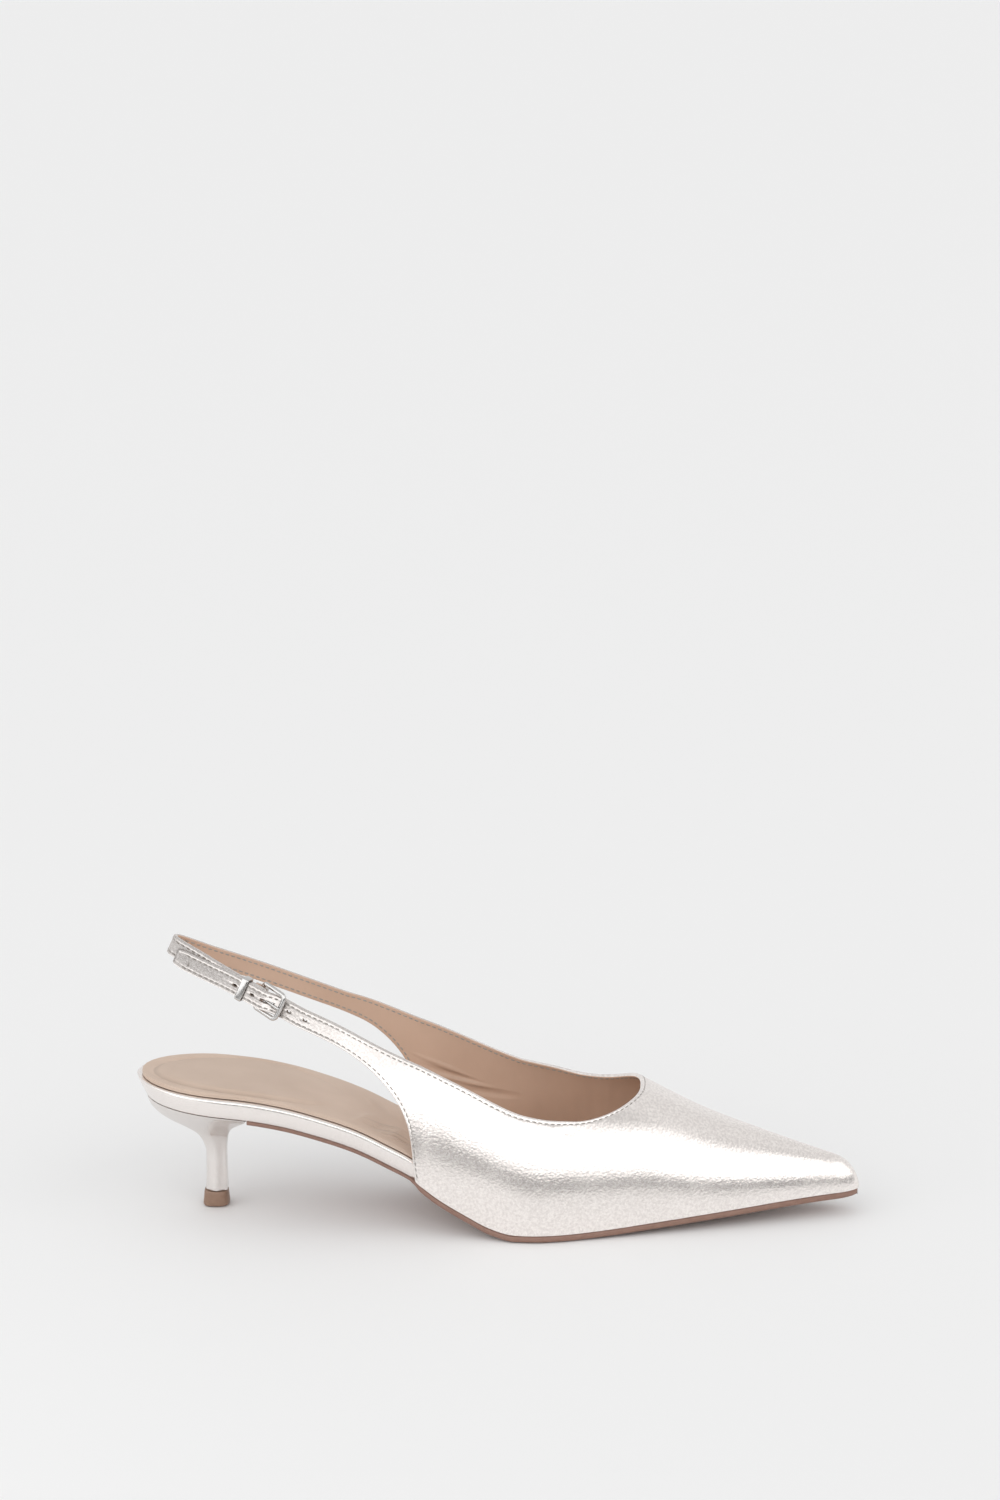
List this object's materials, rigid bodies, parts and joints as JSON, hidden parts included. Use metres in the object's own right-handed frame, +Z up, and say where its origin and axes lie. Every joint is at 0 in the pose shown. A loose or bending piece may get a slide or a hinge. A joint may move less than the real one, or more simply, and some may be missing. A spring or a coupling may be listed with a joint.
{
  "type": "slingback kitten heel pump",
  "caption": "Pointed slingback pump for the right foot with a slim low heel, a buckled strap round the back, and a padded insole.",
  "frame": {"origin": "middle of the shoe's box in plan, on the floor it stands on", "axes": "+X towards the toe, -Y towards the outer (lateral, buckle) side, +Z up"},
  "size_m": [0.2526, 0.0726, 0.0986],
  "materials": {
    "upper_leather": "metallic pale gold foil on synthetic leather, softly crinkled",
    "wrap_leather": "the same metallic foil, wrapped round the insole board",
    "sock_lining": "matt tan lining",
    "outsole_rubber": "satin brown",
    "heel_wrap": "plastic heel wrapped in the same metallic foil",
    "top_piece_plastic": "satin tan brown",
    "buckle_metal": "polished"
  },
  "bodies": {
    "root": {"upper": "upper_leather", "insole_board": "wrap_leather", "insole_sock": "sock_lining", "outsole": "outsole_rubber", "heel": "heel_wrap", "top_piece": "top_piece_plastic", "buckle_frame": "buckle_metal", "buckle_prong": "buckle_metal", "keeper": "buckle_metal"}
  },
  "joints": []
}
